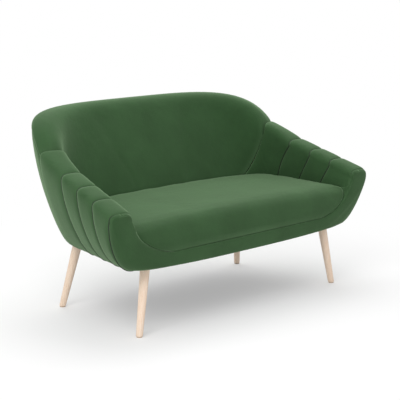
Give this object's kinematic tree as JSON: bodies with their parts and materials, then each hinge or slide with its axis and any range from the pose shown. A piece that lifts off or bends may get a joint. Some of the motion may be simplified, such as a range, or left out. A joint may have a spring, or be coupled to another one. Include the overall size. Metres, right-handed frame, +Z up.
{
  "type": "two-seat sofa",
  "caption": "Compact shell sofa with channelled arms, a smooth wrapped back, a fixed padded seat and slim splayed wooden legs.",
  "frame": {"origin": "on the floor under the middle of the sofa's overall box", "axes": "+X to the sitter's left as seen from the front (viewer's right), -Y towards the front, +Z up"},
  "size_m": [1.3864, 0.716, 0.763],
  "materials": {
    "beech": "pale beech, satin lacquer",
    "channel_padding": "polyester padding",
    "dust_cloth": "non-woven dust cloth",
    "felt": "needled felt",
    "foam": "open-cell foam",
    "glide": "moulded glide",
    "pine": "planed softwood",
    "plywood": "raw plywood",
    "velvet": "short-pile velvet, deep green",
    "wadding": "polyester wadding",
    "webbing": "elastic webbing",
    "zinc_steel": "zinc plated"
  },
  "bodies": {
    "root": {"front_rail": "pine", "rear_rail": "pine", "side_rail_left": "pine", "side_rail_right": "pine", "centre_rail": "pine", "leg_blocks": "pine", "rear_base_board": "plywood", "front_board": "plywood", "arm_panel_left": "plywood", "arm_panel_right": "plywood", "corner_posts": "pine", "back_posts": "pine", "back_top_rail": "pine", "back_outer_panel": "plywood", "frame_dowels": "pine", "seat_springs": "zinc_steel", "spring_clips": "zinc_steel", "leg_bolts": "zinc_steel", "leg_tnuts": "zinc_steel", "leg_plates": "zinc_steel", "leg_front_left": "beech", "leg_front_right": "beech", "leg_rear_left": "beech", "leg_rear_right": "beech", "leg_glides": "glide", "back_webbing": "webbing", "seat_felt": "felt", "seat_foam": "foam", "back_foam": "foam", "back_wadding": "wadding", "front_border_pad": "channel_padding", "arm_channel_left_1": "channel_padding", "arm_channel_left_2": "channel_padding", "arm_channel_left_3": "channel_padding", "arm_channel_left_4": "channel_padding", "arm_channel_right_1": "channel_padding", "arm_channel_right_2": "channel_padding", "arm_channel_right_3": "channel_padding", "arm_channel_right_4": "channel_padding", "seat_cover": "velvet", "back_cover": "velvet", "outer_back_cover": "velvet", "arm_cover_left": "velvet", "arm_cover_right": "velvet", "border_cover": "velvet", "dust_cover": "dust_cloth"}
  },
  "joints": []
}
